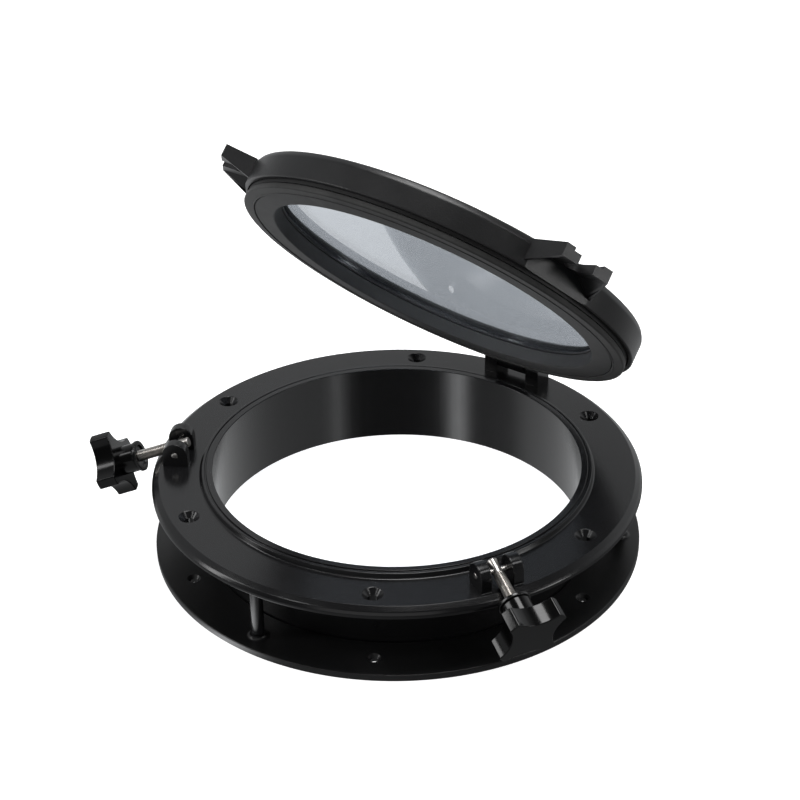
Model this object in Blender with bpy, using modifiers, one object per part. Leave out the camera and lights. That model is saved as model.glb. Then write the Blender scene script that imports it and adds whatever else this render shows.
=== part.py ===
"""Round opening deck hatch: flanged frame, clamping ring, glazed hinged lid
and two swing-bolt latches.

Frame: the origin is on the hatch axis at the bottom face of the clamping ring,
+Z is up and out of the deck, and the hinge is at +Y.  The lid stands part open
and both swing bolts hang outwards over the flange edge.  Dimensions are in
millimetres, scaled to metres by MM; heights are drawn from the deck plane
(the underside of the top flange) and the whole part is raised at the end.
A span is the pair of ends of a cylinder or plate along its own axis.
"""
import math
import bpy
import bmesh
from mathutils import Matrix, Vector

MM = 0.001

# ---- driving dimensions (mm, degrees) --------------------------------------
FLANGE_R = 135.0          # outer radius of the top flange
FLANGE_T = 5.4            # flange thickness
BOTTOM_Z = -38.7          # bottom of spigot and clamping ring
FIXING_ANGLES = [60 * k for k in range(6)]
FIXING_RHO = 121.0        # fixing holes' pitch radius
PILLAR_ANGLES = (30, 150, 270)
PILLAR_RHO = 124.0        # screw pillars' pitch radius

HINGE_ANGLE = 90
HINGE_Y = 122.2           # hinge pin centre
HINGE_Z = 14.5
HINGE_HOLE_R = 2.3
LUG_SPAN = (9.9, 18.6)    # tangential, each side of the hinge's middle
LID_OPEN = 46.6           # how far the lid stands open

LATCH_ANGLES = {"left": 210.0, "right": 330.0}    # left is towards -X
LATCH_RHO = 121.8         # latch pin centre
LATCH_Z = 12.2
EAR_SPAN = (6.0, 12.0)    # tangential, each side of the bolt

RING_STEPS = 60           # facets round the large rings
TURN_MERGE = 0.00001      # metres, joins the seam and poles of turned parts
OUTLINE_MERGE = 0.000005  # metres, joins the walls and faces of a filled curve
SHARP_ANGLE = 32          # edges steeper than this are shaded sharp
BEVEL_ANGLE = 60          # edges steeper than this are bevelled

# ---- scene -----------------------------------------------------------------
for old in list(bpy.data.objects):
    bpy.data.objects.remove(old, do_unlink=True)
scene = bpy.context.scene


def collection(name):
    made = bpy.data.collections.new(name)
    scene.collection.children.link(made)
    return made


PARTS = collection("deck_hatch")
CUTTERS = collection("cutters")

# ---- materials ---------------------------------------------------------------
FRAME_ABS = dict(colour=(0.012, 0.012, 0.013), rough=0.28)
LID_ABS = dict(colour=(0.014, 0.014, 0.015), rough=0.38)
LID_RING_ABS = dict(colour=(0.03, 0.03, 0.032), rough=0.55)
GASKET_RUBBER = dict(colour=(0.035, 0.034, 0.032), rough=0.7)
SEAL_RUBBER = dict(colour=(0.01, 0.01, 0.01), rough=0.6)
ACRYLIC = dict(colour=(0.20, 0.23, 0.27), rough=0.05, transmission=0.6)
STEEL = dict(colour=(0.62, 0.61, 0.60), rough=0.25, metal=1.0)
BRASS = dict(colour=(0.65, 0.48, 0.22), rough=0.3, metal=1.0)
WASHER_PLASTIC = dict(colour=(0.01, 0.01, 0.01), rough=0.35)
KNOB_PLASTIC = dict(colour=(0.008, 0.008, 0.008), rough=0.18)


def material(name, colour, rough, metal=0.0, transmission=0.0):
    made = bpy.data.materials.new(name)
    made.use_nodes = True
    inputs = made.node_tree.nodes["Principled BSDF"].inputs
    inputs["Base Color"].default_value = (*colour, 1.0)
    inputs["Roughness"].default_value = rough
    inputs["Metallic"].default_value = metal
    inputs["Transmission Weight"].default_value = transmission
    made.diffuse_color = (*colour, 1.0)
    return made


# ---- axes and outlines -------------------------------------------------------
def station(angle, rho=0.0):
    """Axes at an angle and radius round the hatch: X radial, Y tangential, Z up."""
    turn = Matrix.Rotation(math.radians(angle), 4, 'Z')
    return turn @ Matrix.Translation((rho * MM, 0.0, 0.0))


def side_on(angle, rho=0.0, z=0.0):
    """Axes for an outline drawn (radial, up) and extruded tangentially."""
    return (station(angle) @ Matrix.Translation((rho * MM, 0.0, z * MM))
            @ Matrix.Rotation(math.radians(90), 4, 'X'))


def arc(centre_x, centre_y, radius, start, end, count):
    """Points along an arc of `count` chords, from start to end degrees."""
    angles = [math.radians(start + (end - start) * i / count) for i in range(count + 1)]
    return [(centre_x + radius * math.cos(angle), centre_y + radius * math.sin(angle))
            for angle in angles]


# ---- shapes added to a bmesh ---------------------------------------------------
def add_cone(shape, low_r, high_r, span, axes, segments=24):
    low, high = span
    middle = axes @ Matrix.Translation((0, 0, (low + high) / 2 * MM))
    bmesh.ops.create_cone(shape, cap_ends=True, segments=segments, radius1=low_r * MM,
                          radius2=high_r * MM, depth=(high - low) * MM, matrix=middle)


def add_cylinder(shape, radius, span, axes, segments=24):
    add_cone(shape, radius, radius, span, axes, segments)


def filled_outline(points, thickness):
    """Mesh of a flat outline (mm), thickened evenly about z = 0 by a filled curve."""
    curve = bpy.data.curves.new("outline", 'CURVE')
    curve.dimensions = '2D'
    curve.fill_mode = 'BOTH'
    curve.extrude = thickness / 2 * MM
    spline = curve.splines.new('POLY')
    spline.points.add(len(points) - 1)
    for point, (x, y) in zip(spline.points, points):
        point.co = (x * MM, y * MM, 0.0, 1.0)
    spline.use_cyclic_u = True
    holder = bpy.data.objects.new("outline", curve)
    scene.collection.objects.link(holder)
    bpy.context.view_layer.update()
    depsgraph = bpy.context.evaluated_depsgraph_get()
    mesh = bpy.data.meshes.new_from_object(holder.evaluated_get(depsgraph))
    bpy.data.objects.remove(holder, do_unlink=True)
    return mesh


def add_outline(shape, points, span, axes):
    """A flat outline (mm) given thickness over a span."""
    low, high = span
    middle = axes @ Matrix.Translation((0, 0, (low + high) / 2 * MM))
    plate = bmesh.new()
    plate.from_mesh(filled_outline(points, high - low))
    bmesh.ops.remove_doubles(plate, verts=plate.verts, dist=OUTLINE_MERGE)
    bmesh.ops.transform(plate, matrix=middle, verts=plate.verts)
    bmesh.ops.recalc_face_normals(plate, faces=plate.faces)
    joined = bpy.data.meshes.new("joined")
    plate.to_mesh(joined)
    plate.free()
    shape.from_mesh(joined)


def add_loft(shape, first, last, span, axes):
    """A closed body between two (tangential, up) sections at two radii."""
    rings = [[shape.verts.new(axes @ Vector((x * MM, y * MM, z * MM))) for y, z in section]
             for x, section in zip(span, (first, last))]
    near, far = rings
    faces = [shape.faces.new(near), shape.faces.new(far)]
    for i in range(len(near)):
        j = (i + 1) % len(near)
        faces.append(shape.faces.new((near[i], near[j], far[j], far[i])))
    faces = bmesh.ops.triangulate(shape, faces=faces)["faces"]
    bmesh.ops.recalc_face_normals(shape, faces=faces)


def mirrored_spans(span):
    """A tangential span and its mirror image."""
    low, high = span
    return (low, high), (-high, -low)


def cylinder(radius, span, segments):
    """A fill function for one cylinder on the object's own Z axis."""
    def fill(shape):
        add_cylinder(shape, radius, span, Matrix.Identity(4), segments)
    return fill


# ---- objects -------------------------------------------------------------------
def mesh_object(name, fill, group):
    """An object whose mesh is drawn by fill(shape)."""
    shape = bmesh.new()
    fill(shape)
    mesh = bpy.data.meshes.new(name)
    shape.to_mesh(mesh)
    shape.free()
    made = bpy.data.objects.new(name, mesh)
    group.objects.link(made)
    return made


def solid(name, fill, mat):
    part = mesh_object(name, fill, PARTS)
    part.data.materials.append(mat)
    part.data.shade_smooth()
    part.data.set_sharp_from_angle(angle=math.radians(SHARP_ANGLE))
    return part


def lathe(name, profile, mat, steps=RING_STEPS, closed=True):
    """Turn an (r, z) profile about Z.  The profile runs down its outer side."""
    def fill(shape):
        verts = [shape.verts.new((r * MM, 0.0, z * MM)) for r, z in profile]
        for pair in zip(verts, verts[1:]):
            shape.edges.new(pair)
        if closed:
            shape.edges.new((verts[-1], verts[0]))

    part = mesh_object(name, fill, PARTS)
    part.data.materials.append(mat)
    screw = part.modifiers.new("Turn", 'SCREW')
    screw.axis = 'Z'
    screw.angle = 2 * math.pi
    screw.steps = steps
    screw.render_steps = steps
    screw.use_merge_vertices = True
    screw.merge_threshold = TURN_MERGE
    screw.use_smooth_shade = True
    if not closed:
        part.modifiers.new("Weld", 'WELD').merge_threshold = TURN_MERGE
    return part


def bevel(part, width, segments):
    edge = part.modifiers.new("Edge", 'BEVEL')
    edge.width = width * MM
    edge.segments = segments
    edge.limit_method = 'ANGLE'
    edge.angle_limit = math.radians(BEVEL_ANGLE)


def boolean_steps(part, steps, place=None):
    """Apply (helper name, fill, operation) steps; place() positions each helper."""
    for name, fill, operation in steps:
        helper = mesh_object(name, fill, CUTTERS)
        helper.hide_render = True
        helper.display_type = 'WIRE'
        if place:
            place(helper)
        modifier = part.modifiers.new(operation.title(), 'BOOLEAN')
        modifier.operation = operation
        modifier.object = helper
        modifier.solver = 'EXACT'


# ---- main frame: flange, coaming, spigot, ears, lugs, pillars ---------------
SPIGOT_R = 107.4          # outside of the spigot, passes through the deck
BORE_TOP_R = 101.5        # clear opening at the coaming
BORE_LOW_R = 103.0        # opening at the bottom (mould draft)
COAMING_Z = 8.5           # top of the coaming's inner land
RIM_Z = 8.2               # top of the coaming's outer rim
TAB_FOOT_Z = FLANGE_T - 1.0               # ears and lugs are sunk into the flange
EAR_R, EAR_FLARE = 7.0, 0.5               # flare: how far the foot spreads
LUG_R, LUG_FLARE = 6.35, 0.4              # the lug flares on its outer side only
PILLAR_R, PILLAR_SPAN = 3.5, (-32.7, 1.0)
PILLAR_HOLE_R, PILLAR_HOLE_SPAN = 1.8, (-34.0, -14.0)
FIXING_R, FIXING_SPAN = 2.75, (-1.0, 7.0)
FIXING_SINK_R = (2.6, 6.2)                # bottom and top of the countersink
FIXING_SINK_SPAN = (FLANGE_T - 3.1, FLANGE_T + 0.5)
LATCH_HOLE_R, LATCH_HOLE_HALF = 1.8, 15.0
RIVET_SINK_R, RIVET_SINK_SPAN = 2.2, (10.8, 15.0)
HINGE_HOLE_HALF = 22.0

FRAME_PROFILE = [         # (r, z)
    (101.9, COAMING_Z), (104.9, COAMING_Z), (105.1, 7.7), (105.8, 7.7),
    (106.0, RIM_Z), (107.1, RIM_Z), (107.7, 7.6), (108.3, 5.9), (109.3, FLANGE_T),
    (130.8, FLANGE_T), (131.3, 5.12), (133.7, 3.5), (134.8, 2.1), (FLANGE_R, 1.4),
    (FLANGE_R, 0.4), (134.6, 0.0), (SPIGOT_R, 0.0), (SPIGOT_R, BOTTOM_Z + 0.6),
    (106.8, BOTTOM_Z), (103.6, BOTTOM_Z), (BORE_LOW_R, BOTTOM_Z + 0.6),
    (BORE_TOP_R, 8.1)]


def add_tabs(shape, angle, rho, z, radius, outer_flare, inner_flare, span):
    """A pair of round-topped tabs on the flange, one each side of a station."""
    outline = ([(rho + radius + outer_flare, TAB_FOOT_Z)]
               + arc(rho, z, radius, 0, 180, 12)
               + [(rho - radius - inner_flare, TAB_FOOT_Z)])
    for tab_span in mirrored_spans(span):
        add_outline(shape, outline, tab_span, side_on(angle))


def frame_additions(shape):
    for angle in LATCH_ANGLES.values():
        add_tabs(shape, angle, LATCH_RHO, LATCH_Z, EAR_R, EAR_FLARE, EAR_FLARE, EAR_SPAN)
    add_tabs(shape, HINGE_ANGLE, HINGE_Y, HINGE_Z, LUG_R, LUG_FLARE, 0.0, LUG_SPAN)
    for angle in PILLAR_ANGLES:
        add_cylinder(shape, PILLAR_R, PILLAR_SPAN, station(angle, PILLAR_RHO), 20)


def add_hinge_hole(shape, half):
    add_cylinder(shape, HINGE_HOLE_R, (-half, half),
                 side_on(HINGE_ANGLE, HINGE_Y, HINGE_Z), 16)


def frame_holes(shape):
    for angle in FIXING_ANGLES:
        add_cylinder(shape, FIXING_R, FIXING_SPAN, station(angle, FIXING_RHO), 20)
    for angle in PILLAR_ANGLES:
        add_cylinder(shape, PILLAR_HOLE_R, PILLAR_HOLE_SPAN, station(angle, PILLAR_RHO), 12)
    for angle in LATCH_ANGLES.values():
        add_cylinder(shape, LATCH_HOLE_R, (-LATCH_HOLE_HALF, LATCH_HOLE_HALF),
                     side_on(angle, LATCH_RHO, LATCH_Z), 16)
    add_hinge_hole(shape, HINGE_HOLE_HALF)


def frame_sinks(shape):
    """Room for the latch pins' riveted ends, and the fixing countersinks."""
    for angle in LATCH_ANGLES.values():
        for span in mirrored_spans(RIVET_SINK_SPAN):
            add_cylinder(shape, RIVET_SINK_R, span, side_on(angle, LATCH_RHO, LATCH_Z), 16)
    for angle in FIXING_ANGLES:
        add_cone(shape, *FIXING_SINK_R, FIXING_SINK_SPAN, station(angle, FIXING_RHO))


def build_main_frame():
    frame = lathe("main_frame", FRAME_PROFILE, material("frame_abs", **FRAME_ABS))
    boolean_steps(frame, [
        ("cut_frame_add", frame_additions, 'UNION'),
        ("cut_frame_holes", frame_holes, 'DIFFERENCE'),
        ("cut_frame_sinks", frame_sinks, 'DIFFERENCE')])


# ---- clamping (trim) ring and its screws ------------------------------------
TRIM_R = 135.2            # clamping ring outer radius
TRIM_T = 4.0              # clamping ring thickness
TRIM_TOP = BOTTOM_Z + TRIM_T
# cone radii are (bottom, top)
BOSS_R, BOSS_SPAN = (6.4, 4.4), (TRIM_TOP - 0.6, -33.0)
TRIM_FIXING_R, TRIM_FIXING_SPAN = 2.0, (-41.0, -32.0)
TRIM_FIXING_SINK_R, TRIM_FIXING_SINK_SPAN = (1.9, 4.4), (TRIM_TOP - 2.0, TRIM_TOP + 0.5)
TRIM_SCREW_HOLE_R, TRIM_SCREW_HOLE_SPAN = 2.1, (-41.0, -31.0)
TRIM_SCREW_SINK_R, TRIM_SCREW_SINK_SPAN = (4.7, 2.0), (BOTTOM_Z - 0.5, BOTTOM_Z + 2.2)
SCREW_R, SCREW_HEAD_R = 1.45, 3.65
SCREW_TIP_Z = -19.0
SCREW_HEAD_Z = BOTTOM_Z + 0.1

TRIM_PROFILE = [          # (r, z)
    (108.5, TRIM_TOP), (134.5, TRIM_TOP), (TRIM_R, TRIM_TOP - 0.7),
    (TRIM_R, BOTTOM_Z + 0.7), (134.5, BOTTOM_Z), (108.5, BOTTOM_Z),
    (107.9, BOTTOM_Z + 0.6), (107.9, TRIM_TOP - 0.6)]
SCREW_PROFILE = [         # (r, z), tip upwards
    (0.0, SCREW_TIP_Z), (0.5, -19.2), (SCREW_R, -21.0), (SCREW_R, BOTTOM_Z + 2.5),
    (SCREW_HEAD_R, BOTTOM_Z + 0.35), (SCREW_HEAD_R, SCREW_HEAD_Z), (0.0, SCREW_HEAD_Z)]


def trim_bosses(shape):
    for angle in PILLAR_ANGLES:
        add_cone(shape, *BOSS_R, BOSS_SPAN, station(angle, PILLAR_RHO))


def trim_holes(shape):
    for angle in FIXING_ANGLES:
        add_cylinder(shape, TRIM_FIXING_R, TRIM_FIXING_SPAN, station(angle, FIXING_RHO), 20)
    for angle in PILLAR_ANGLES:
        add_cylinder(shape, TRIM_SCREW_HOLE_R, TRIM_SCREW_HOLE_SPAN,
                     station(angle, PILLAR_RHO), 16)


def trim_sinks(shape):
    for angle in FIXING_ANGLES:
        add_cone(shape, *TRIM_FIXING_SINK_R, TRIM_FIXING_SINK_SPAN,
                 station(angle, FIXING_RHO))
    for angle in PILLAR_ANGLES:
        add_cone(shape, *TRIM_SCREW_SINK_R, TRIM_SCREW_SINK_SPAN,
                 station(angle, PILLAR_RHO), 20)


def build_trim_ring():
    ring = lathe("trim_ring", TRIM_PROFILE, material("trim_abs", **FRAME_ABS))
    boolean_steps(ring, [
        ("cut_trim_add", trim_bosses, 'UNION'),
        ("cut_trim_holes", trim_holes, 'DIFFERENCE'),
        ("cut_trim_sinks", trim_sinks, 'DIFFERENCE')])


def build_trim_screws():
    for i, angle in enumerate(PILLAR_ANGLES, 1):
        screw = lathe(f"trim_screw_{i}", SCREW_PROFILE, material(f"screw_{i}", **STEEL),
                      steps=16, closed=False)
        screw.location = station(angle) @ Vector((PILLAR_RHO * MM, 0, 0))


# ---- lid, drawn closed under an empty on the hinge axis ----------------------
LID_R = 115.0
LID_UNDER_Z = 8.8         # underside of the closed lid
LID_TOP_Z = 30.3
GLASS_R, GLASS_LOW_Z, GLASS_TOP_Z = 98.0, 18.2, 26.2
GLASS_EDGE = 0.5          # chamfer round the pane
# fork blocks: (at the wall, at the tip)
FORK_RHO = (112.4, 132.0)
FORK_HALF = (22.3, 15.3)
FORK_LOW_Z = (17.6, 24.0)
FORK_TOP_Z = (28.9, 31.0)
KNUCKLE_HALF, KNUCKLE_R = 9.4, 6.0
KNUCKLE_ROOT_RHO, KNUCKLE_ROOT_Z = 112.9, 10.2
KNUCKLE_HOLE_HALF = 15.0
SEAT_Z = 29.2             # where the knob washers bear on the forks
SEAT_HALF = 9.6
SLOT_RHO, SLOT_HALF = 121.2, 4.9          # centre of the slot's round end
SLOT_LOW_Z = 8.0
CUT_TOP_Z, CUT_RHO = 36.0, 136.0          # slots and seats are cut out to here
POCKET_SPAN = (113.0, 132.5)              # radii of the two pocket sections
POCKET_ROOT = [(20.3, 8.0), (20.3, 19.0), (18.5, 19.5), (8.5, 25.4)]  # half, (y, z)
POCKET_TIP = [(15.2, 8.0), (15.2, 23.6), (13.5, 23.8), (6.5, 23.9)]

LID_PROFILE = [           # (r, z), as are the lid's other rings
    (97.0, LID_TOP_Z), (110.6, LID_TOP_Z), (112.6, 29.9), (114.0, 28.9),
    (114.8, 27.4), (LID_R, 25.6), (114.8, 15.0), (114.1, 14.2), (112.7, 14.2),
    (112.0, 15.0), (112.0, 21.0), (98.4, 21.0), (98.4, 27.6), (93.4, 27.6),
    (93.4, 28.1)]
INNER_RING_PROFILE = [
    (98.6, 20.6), (111.0, 20.6), (111.6, 20.0), (111.6, 12.6), (105.2, 12.6),
    (105.2, LID_UNDER_Z), (94.2, LID_UNDER_Z), (93.6, 9.4), (92.8, 16.3),
    (98.6, 16.3)]
GASKET_PROFILE = [
    (105.6, 12.2), (111.4, 12.2), (112.0, 11.6), (112.0, 9.8), (111.2, 8.9),
    (106.4, 8.8), (106.1, 8.5), (105.8, 8.5), (105.6, 8.8)]
GLASS_PROFILE = [
    (0.0, GLASS_TOP_Z), (GLASS_R - GLASS_EDGE, GLASS_TOP_Z),
    (GLASS_R, GLASS_TOP_Z - GLASS_EDGE), (GLASS_R, GLASS_LOW_Z + GLASS_EDGE),
    (GLASS_R - GLASS_EDGE, GLASS_LOW_Z), (0.0, GLASS_LOW_Z)]
LOWER_SEAL_PROFILE = [(92.4, 17.9), (98.0, 17.9), (98.0, 16.6), (92.4, 16.6)]
UPPER_SEAL_PROFILE = [(93.0, 27.3), (97.8, 27.3), (97.8, 26.5), (93.0, 26.5)]

LID_RINGS = [             # name, profile, material name, finish, closed profile
    ("lid_inner_ring", INNER_RING_PROFILE, "lid_ring_abs", LID_RING_ABS, True),
    ("lid_gasket", GASKET_PROFILE, "gasket_rubber", GASKET_RUBBER, True),
    ("glass_pane", GLASS_PROFILE, "pane_acrylic", ACRYLIC, False),
    ("glazing_seal_lower", LOWER_SEAL_PROFILE, "seal_rubber_lower", SEAL_RUBBER, True),
    ("glazing_seal_upper", UPPER_SEAL_PROFILE, "seal_rubber_upper", SEAL_RUBBER, True)]

hinge_axis = bpy.data.objects.new("hinge_axis", None)
hinge_axis.location = (0.0, HINGE_Y * MM, HINGE_Z * MM)
hinge_axis.rotation_euler = (math.radians(-LID_OPEN), 0.0, 0.0)
PARTS.objects.link(hinge_axis)


def put_on_lid(part):
    part.parent = hinge_axis
    part.matrix_parent_inverse = Matrix.Identity(4)
    part.location = (0.0, -HINGE_Y * MM, -HINGE_Z * MM)


def add_fork_block(shape, angle):
    """A block standing out from the wall, narrowing and thinning to its tip."""
    verts = bmesh.ops.create_cube(shape, size=1.0)["verts"]
    for vert in verts:
        end = int(vert.co.x > 0)
        heights = FORK_TOP_Z if vert.co.z > 0 else FORK_LOW_Z
        vert.co = (FORK_RHO[end] * MM, math.copysign(FORK_HALF[end] * MM, vert.co.y),
                   heights[end] * MM)
    bmesh.ops.transform(shape, matrix=station(angle), verts=verts)


def lid_additions(shape):
    for angle in LATCH_ANGLES.values():
        add_fork_block(shape, angle)
    knuckle = ([(HINGE_Y, HINGE_Z - KNUCKLE_R)]
               + arc(HINGE_Y, HINGE_Z, KNUCKLE_R, -75, 90, 11)
               + [(KNUCKLE_ROOT_RHO, HINGE_Z + KNUCKLE_R),
                  (KNUCKLE_ROOT_RHO, KNUCKLE_ROOT_Z)])
    add_outline(shape, knuckle, (-KNUCKLE_HALF, KNUCKLE_HALF), side_on(HINGE_ANGLE))


def open_slot(rho, half, count):
    """Outline with a round inner end, running out past the fork tips."""
    return arc(rho, 0, half, 90, 270, count) + [(CUT_RHO, -half), (CUT_RHO, half)]


def lid_slots(shape):
    for angle in LATCH_ANGLES.values():
        add_outline(shape, open_slot(SLOT_RHO, SLOT_HALF, 10), (SLOT_LOW_Z, CUT_TOP_Z),
                    station(angle))
    add_hinge_hole(shape, KNUCKLE_HOLE_HALF)


def lid_seats(shape):
    for angle in LATCH_ANGLES.values():
        add_outline(shape, open_slot(LATCH_RHO, SEAT_HALF, 12), (SEAT_Z, CUT_TOP_Z),
                    station(angle))


def mirrored(half_section):
    return half_section + [(-y, z) for y, z in reversed(half_section)]


def lid_pockets(shape):
    """Flat pocket in the wall under each fork, arched up into its underside."""
    for angle in LATCH_ANGLES.values():
        add_loft(shape, mirrored(POCKET_ROOT), mirrored(POCKET_TIP), POCKET_SPAN,
                 station(angle))


def build_lid_frame():
    frame = lathe("lid_frame", LID_PROFILE, material("lid_abs", **LID_ABS))
    put_on_lid(frame)
    boolean_steps(frame, [
        ("cut_lid_add", lid_additions, 'UNION'),
        ("cut_lid_slots", lid_slots, 'DIFFERENCE'),
        ("cut_lid_seats", lid_seats, 'DIFFERENCE'),
        ("cut_lid_pockets", lid_pockets, 'DIFFERENCE')], place=put_on_lid)


def build_lid_rings():
    for name, profile, material_name, look, closed in LID_RINGS:
        put_on_lid(lathe(name, profile, material(material_name, **look), closed=closed))


# ---- hinge pin -----------------------------------------------------------------
HINGE_PIN_R = 2.0
HINGE_PIN_HALF = LUG_SPAN[1] + 0.2


def build_hinge_pin():
    fill = cylinder(HINGE_PIN_R, (-HINGE_PIN_HALF, HINGE_PIN_HALF), 20)
    pin = solid("hinge_pin", fill, material("hinge_pin", **STEEL))
    bevel(pin, width=0.3, segments=1)
    pin.matrix_world = side_on(HINGE_ANGLE, HINGE_Y, HINGE_Z)


# ---- latches: swing bolt, washer, insert and knob on a common axis ------------
BOLT_DROP = 20.5          # bolts hang this far below horizontal
BOLT_R = 3.1              # threaded, drawn plain
BOLT_LEN = 35.0           # pin centre to the bolt's end
PLAIN_R, PLAIN_END = 2.75, 2.5            # unthreaded, cross-drilled end
BOLT_TAIL = 6.4           # how far the bolt runs past its pin
CROSS_HOLE_R, CROSS_HOLE_HALF = 1.75, 5
LATCH_PIN_R, RIVET_R = 1.5, 1.9
RIVET_END = EAR_SPAN[1] + 0.3             # pin middle to the riveted end's face
RIVET_START = 11.1                        # pin middle to the riveted end's shoulder
KNOB_AT = {"left": 23.3, "right": 20.0}   # pin centre to the washer's face
WASHER_R, WASHER_T = 8.7, 1.8
THREAD_BORE_R = 3.45      # bore of washer and insert
INSERT_R = 5.0
COLLAR_R, COLLAR_END = 8.0, 11.6
STAR_R, STAR_T = 19.5, 11.2
STAR_TURN = {"left": -3.0, "right": 42.0}
LOBE_HALF, LOBE_TIP = 3.0, 1.2            # lobe half width, rounding of its tip
SCALLOP_CENTRE = 21.2     # x and y of the scallop's centre, on the diagonal

PIN_PROFILE = [           # (r, z), as are the latches' other turned parts
    (0.0, RIVET_END), (RIVET_R - 0.35, RIVET_END), (RIVET_R, RIVET_END - 0.3),
    (RIVET_R, RIVET_START), (LATCH_PIN_R, RIVET_START), (LATCH_PIN_R, -RIVET_START),
    (RIVET_R, -RIVET_START), (RIVET_R, 0.3 - RIVET_END), (RIVET_R - 0.35, -RIVET_END),
    (0.0, -RIVET_END)]
BOLT_PROFILE = [
    (0.0, BOLT_LEN), (2.4, BOLT_LEN), (BOLT_R, BOLT_LEN - 0.7), (BOLT_R, PLAIN_END + 0.4),
    (PLAIN_R, PLAIN_END), (PLAIN_R, 0.8 - BOLT_TAIL), (1.7, -BOLT_TAIL), (0.0, -BOLT_TAIL)]
WASHER_PROFILE = [        # dished on the face towards the pin
    (THREAD_BORE_R, WASHER_T), (8.3, WASHER_T), (WASHER_R, WASHER_T - 0.4),
    (WASHER_R, 0.4), (8.3, 0.0), (6.2, 0.0), (5.6, 0.9), (THREAD_BORE_R, 0.9)]
INSERT_PROFILE = [
    (THREAD_BORE_R, 14.0), (INSERT_R, 14.0), (INSERT_R, 9.6), (4.6, 9.2), (4.6, 7.6),
    (INSERT_R, 7.2), (INSERT_R, 2.6), (THREAD_BORE_R, 2.6)]

KNOB_STEPS = [            # helper label, fill, operation
    ("collar", cylinder(COLLAR_R, (WASHER_T + 0.3, COLLAR_END + 4.0), 24), 'UNION'),
    ("bore", cylinder(5.3, (0.0, 14.4), 20), 'DIFFERENCE'),
    ("tip", cylinder(3.5, (13.0, 19.6), 16), 'DIFFERENCE')]


def star_outline():
    """Four lobes with rounded tips, joined by concave arcs."""
    shoulder_x, shoulder_y = STAR_R - LOBE_TIP * 0.9, LOBE_HALF + 0.2
    near_tip_x, near_tip_y = STAR_R - 0.25, LOBE_HALF - LOBE_TIP
    quarter = [(shoulder_x, -shoulder_y), (near_tip_x, -near_tip_y), (STAR_R, 0.0),
               (near_tip_x, near_tip_y), (shoulder_x, shoulder_y)]
    spoke = Vector((shoulder_x - SCALLOP_CENTRE, shoulder_y - SCALLOP_CENTRE))
    start = math.degrees(math.atan2(spoke.y, spoke.x)) % 360
    # the arc is symmetric about 225 degrees; its ends are lobe shoulders already
    quarter += arc(SCALLOP_CENTRE, SCALLOP_CENTRE, spoke.length,
                   start, 450 - start, 7)[1:-1]
    outline = []
    for k in range(4):
        cosine, sine = math.cos(k * math.pi / 2), math.sin(k * math.pi / 2)
        outline += [(x * cosine - y * sine, x * sine + y * cosine) for x, y in quarter]
    return outline


def fill_star(shape):
    add_outline(shape, star_outline(), (COLLAR_END, COLLAR_END + STAR_T),
                Matrix.Identity(4))


def fill_cross_hole(shape):
    add_cylinder(shape, CROSS_HOLE_R, (-CROSS_HOLE_HALF, CROSS_HOLE_HALF),
                 Matrix.Rotation(math.radians(90), 4, 'X'), 16)


def turned_part(name, profile, mat, steps, axes, closed=True):
    part = lathe(name, profile, mat, steps=steps, closed=closed)
    part.matrix_world = axes
    return part


def build_bolt(side, axes):
    bolt = turned_part("swing_bolt_" + side, BOLT_PROFILE, material("bolt_" + side, **STEEL),
                       24, axes, closed=False)

    def place(helper):
        helper.matrix_world = axes

    boolean_steps(bolt, [("cut_bolt_hole_" + side, fill_cross_hole, 'DIFFERENCE')], place)


def build_knob(side, axes):
    def place(part):
        part.matrix_world = axes

    knob = solid("knob_" + side, fill_star, material("knob_plastic_" + side, **KNOB_PLASTIC))
    place(knob)
    bevel(knob, width=0.9, segments=2)
    boolean_steps(knob, [(f"cut_knob_{label}_{side}", fill, operation)
                         for label, fill, operation in KNOB_STEPS], place)


def build_latch(side, angle):
    turned_part("latch_pin_" + side, PIN_PROFILE, material("latch_pin_" + side, **STEEL),
                20, side_on(angle, LATCH_RHO, LATCH_Z), closed=False)
    # bolt axes: Z along the bolt from the pin, Y tangential
    bolt_axes = (station(angle) @ Matrix.Translation((LATCH_RHO * MM, 0, LATCH_Z * MM))
                 @ Matrix.Rotation(math.radians(90.0 + BOLT_DROP), 4, 'Y'))
    build_bolt(side, bolt_axes)
    knob_axes = bolt_axes @ Matrix.Translation((0, 0, KNOB_AT[side] * MM))
    turned_part("knob_washer_" + side, WASHER_PROFILE,
                material("washer_" + side, **WASHER_PLASTIC), 24, knob_axes)
    turned_part("knob_insert_" + side, INSERT_PROFILE,
                material("insert_" + side, **BRASS), 18, knob_axes)
    build_knob(side, knob_axes @ Matrix.Rotation(math.radians(STAR_TURN[side]), 4, 'Z'))


# ---- assembly ------------------------------------------------------------------
build_main_frame()
build_trim_ring()
build_trim_screws()
build_lid_frame()
build_lid_rings()
build_hinge_pin()
for latch_side, latch_angle in LATCH_ANGLES.items():
    build_latch(latch_side, latch_angle)

# raise everything so that the bottom face of the clamping ring is at z = 0
for item in list(PARTS.objects) + list(CUTTERS.objects):
    if item.parent is None:
        item.location.z -= BOTTOM_Z * MM

bpy.context.view_layer.update()
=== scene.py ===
"""Round opening deck hatch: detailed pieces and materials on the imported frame.

Every piece takes the place of one frame node.  Lengths are in millimetres,
scaled by MM, with heights measured from the underside of the flange; LIFT
raises them to the frame, whose origin is on the hatch axis at the bottom face,
+Z up, hinge at +Y.  The lid stands open about the hinge.  Two latches, each a
swing bolt with a star knob, stand opposite the hinge.
"""
import math

import bmesh
import bpy
from mathutils import Matrix, Vector


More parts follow.
